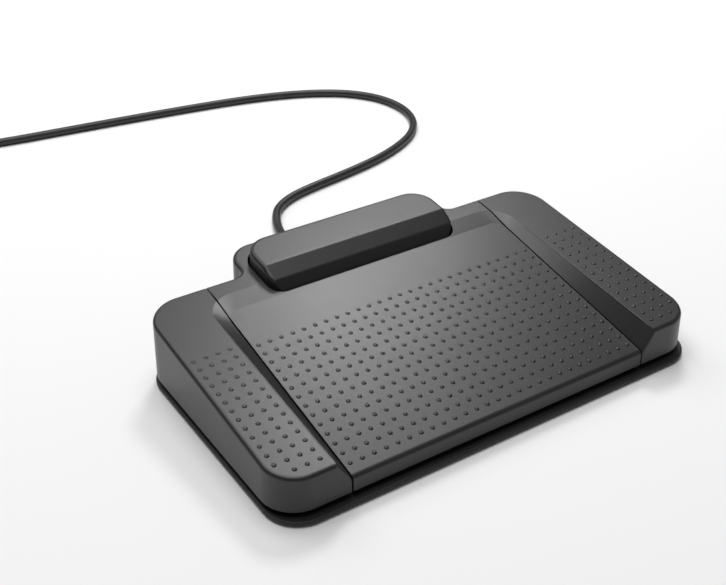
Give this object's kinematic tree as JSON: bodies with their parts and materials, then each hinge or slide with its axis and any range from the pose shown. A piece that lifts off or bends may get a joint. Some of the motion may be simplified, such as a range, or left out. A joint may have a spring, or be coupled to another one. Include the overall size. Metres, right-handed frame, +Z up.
{
  "type": "dictation foot control",
  "caption": "Foot control for a dictation and transcription machine: side pedals, a sloping centre pedal and a raised bar pedal hinged on a low base, with a cable.",
  "frame": {"origin": "on the floor, at the middle of the base plate's outline", "axes": "+X to the right, +Y away from the user towards the cable, +Z up"},
  "size_m": [0.3241, 0.4019, 0.0418],
  "materials": {
    "pedal_grey": "fine satin texture, moulded",
    "base_black": "satin",
    "tower_black": "satin",
    "foot_rubber": "matte",
    "steel_pin": "ground",
    "spring_steel": "drawn wire",
    "screw_zinc": "zinc plated",
    "magnet_nickel": "nickel plated",
    "board_green": "solder mask",
    "chip_black": "matte",
    "socket_white": "satin",
    "lead_grey": "satin",
    "cable_black": "soft satin",
    "plug_black": "fine matte texture",
    "plug_steel": "bright"
  },
  "bodies": {
    "base": {"base_plate": "base_black", "foot_front_left": "foot_rubber", "foot_rear_left": "foot_rubber", "foot_front_right": "foot_rubber", "foot_rear_right": "foot_rubber", "tower_left": "tower_black", "axle_wing_left": "steel_pin", "axle_centre_left": "steel_pin", "spring_wing_left": "spring_steel", "spring_centre_left": "spring_steel", "spring_bar_left": "spring_steel", "bumper_wing_left": "foot_rubber", "bumper_centre_left": "foot_rubber", "sensor_wing_left": "board_green", "sensor_lead_left": "lead_grey", "tower_right": "tower_black", "axle_wing_right": "steel_pin", "axle_centre_right": "steel_pin", "spring_wing_right": "spring_steel", "spring_centre_right": "spring_steel", "spring_bar_right": "spring_steel", "bumper_wing_right": "foot_rubber", "bumper_centre_right": "foot_rubber", "sensor_wing_right": "board_green", "sensor_lead_right": "lead_grey", "axle_bar": "steel_pin", "sensor_bar": "board_green", "circuit_board": "board_green", "controller_chip": "chip_black", "sensor_centre": "chip_black", "cable_socket": "socket_white", "tower_screws": "screw_zinc", "board_screws": "screw_zinc", "clamp_screws": "screw_zinc", "cable_boot": "cable_black", "inner_cable": "cable_black", "cable_clamp": "tower_black", "cable": "cable_black", "cable_coil": "cable_black", "cable_tail": "cable_black", "plug_body": "plug_black", "plug_shell": "plug_steel", "plug_tongue": "socket_white"},
    "left_pedal": {"left_pedal_shell": "pedal_grey", "magnet_wing_left": "magnet_nickel"},
    "centre_pedal": {"centre_pedal_shell": "pedal_grey", "magnet_centre": "magnet_nickel"},
    "right_pedal": {"right_pedal_shell": "pedal_grey", "magnet_wing_right": "magnet_nickel"},
    "bar_pedal": {"bar_pedal_shell": "pedal_grey", "magnet_bar": "magnet_nickel"}
  },
  "joints": [
    {"name": "left_pedal_press", "type": "hinge", "parent": "base", "child": "left_pedal", "pos_m": [0, 0.0394, 0.01], "axis": [1, 0, 0], "range_deg": [0, 1.2], "stiffness_Nm_per_rad": 12, "springref_deg": -3, "deforming": ["spring_wing_left"]},
    {"name": "centre_pedal_press", "type": "hinge", "parent": "base", "child": "centre_pedal", "pos_m": [0, 0.0612, 0.01], "axis": [1, 0, 0], "range_deg": [0, 1], "stiffness_Nm_per_rad": 20, "springref_deg": -3, "deforming": ["spring_centre_left", "spring_centre_right"]},
    {"name": "right_pedal_press", "type": "hinge", "parent": "base", "child": "right_pedal", "pos_m": [0, 0.0394, 0.01], "axis": [1, 0, 0], "range_deg": [0, 1.2], "stiffness_Nm_per_rad": 12, "springref_deg": -3, "deforming": ["spring_wing_right"]},
    {"name": "bar_pedal_press", "type": "hinge", "parent": "base", "child": "bar_pedal", "pos_m": [0, 0.0564, 0.029], "axis": [1, 0, 0], "range_deg": [0, 4], "stiffness_Nm_per_rad": 2, "springref_deg": -3, "deforming": ["spring_bar_left", "spring_bar_right"]}
  ]
}
